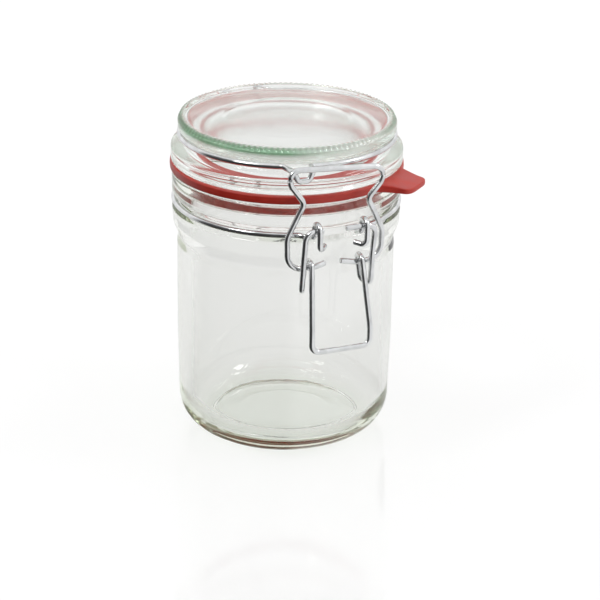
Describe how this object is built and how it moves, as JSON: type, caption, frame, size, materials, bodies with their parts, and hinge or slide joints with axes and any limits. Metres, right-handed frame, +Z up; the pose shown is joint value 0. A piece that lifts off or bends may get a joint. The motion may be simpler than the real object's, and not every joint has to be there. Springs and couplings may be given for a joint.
{
  "type": "clip top jar",
  "caption": "Small round glass jar with a hinged glass lid, a rubber sealing ring with a pull tab, and a steel wire clip with a lever handle.",
  "frame": {"origin": "centre of the jar's flat base, on the surface that it stands on", "axes": "+Z up along the jar's axis, -Y towards the clip, +X to the right when the clip is seen from the front"},
  "size_m": [0.0876, 0.1075, 0.124],
  "materials": {
    "jar_glass": "clear pressed glass",
    "lid_glass": "clear pressed glass, green at the edge",
    "ring_rubber": "satin",
    "wire": "bright drawn wire"
  },
  "bodies": {
    "root": {"jar": "jar_glass", "neck_wire": "wire"},
    "lid": {"lid": "lid_glass", "lid_wire": "wire", "sealing_ring": "ring_rubber"},
    "lever": {"lever": "wire"},
    "bail": {"bail": "wire"}
  },
  "joints": [
    {"name": "lid_hinge", "type": "hinge", "parent": "root", "child": "lid", "pos_m": [0, 0.0485, 0.096], "axis": [-1, 0, 0], "range_deg": [0, 110]},
    {"name": "lever_hinge", "type": "hinge", "parent": "root", "child": "lever", "pos_m": [0, -0.052, 0.0967], "axis": [-1, 0, 0], "range_deg": [0, 85]},
    {"name": "bail_hinge", "type": "hinge", "parent": "lever", "child": "bail", "pos_m": [0, -0.0465, 0.0809], "axis": [-1, 0, 0], "range_deg": [-150, 0]}
  ],
  "couplings": [
    {"joint": "lever_hinge", "follows": "lid_hinge", "ratio": 0.7727},
    {"joint": "bail_hinge", "follows": "lid_hinge", "ratio": -1.3636}
  ]
}
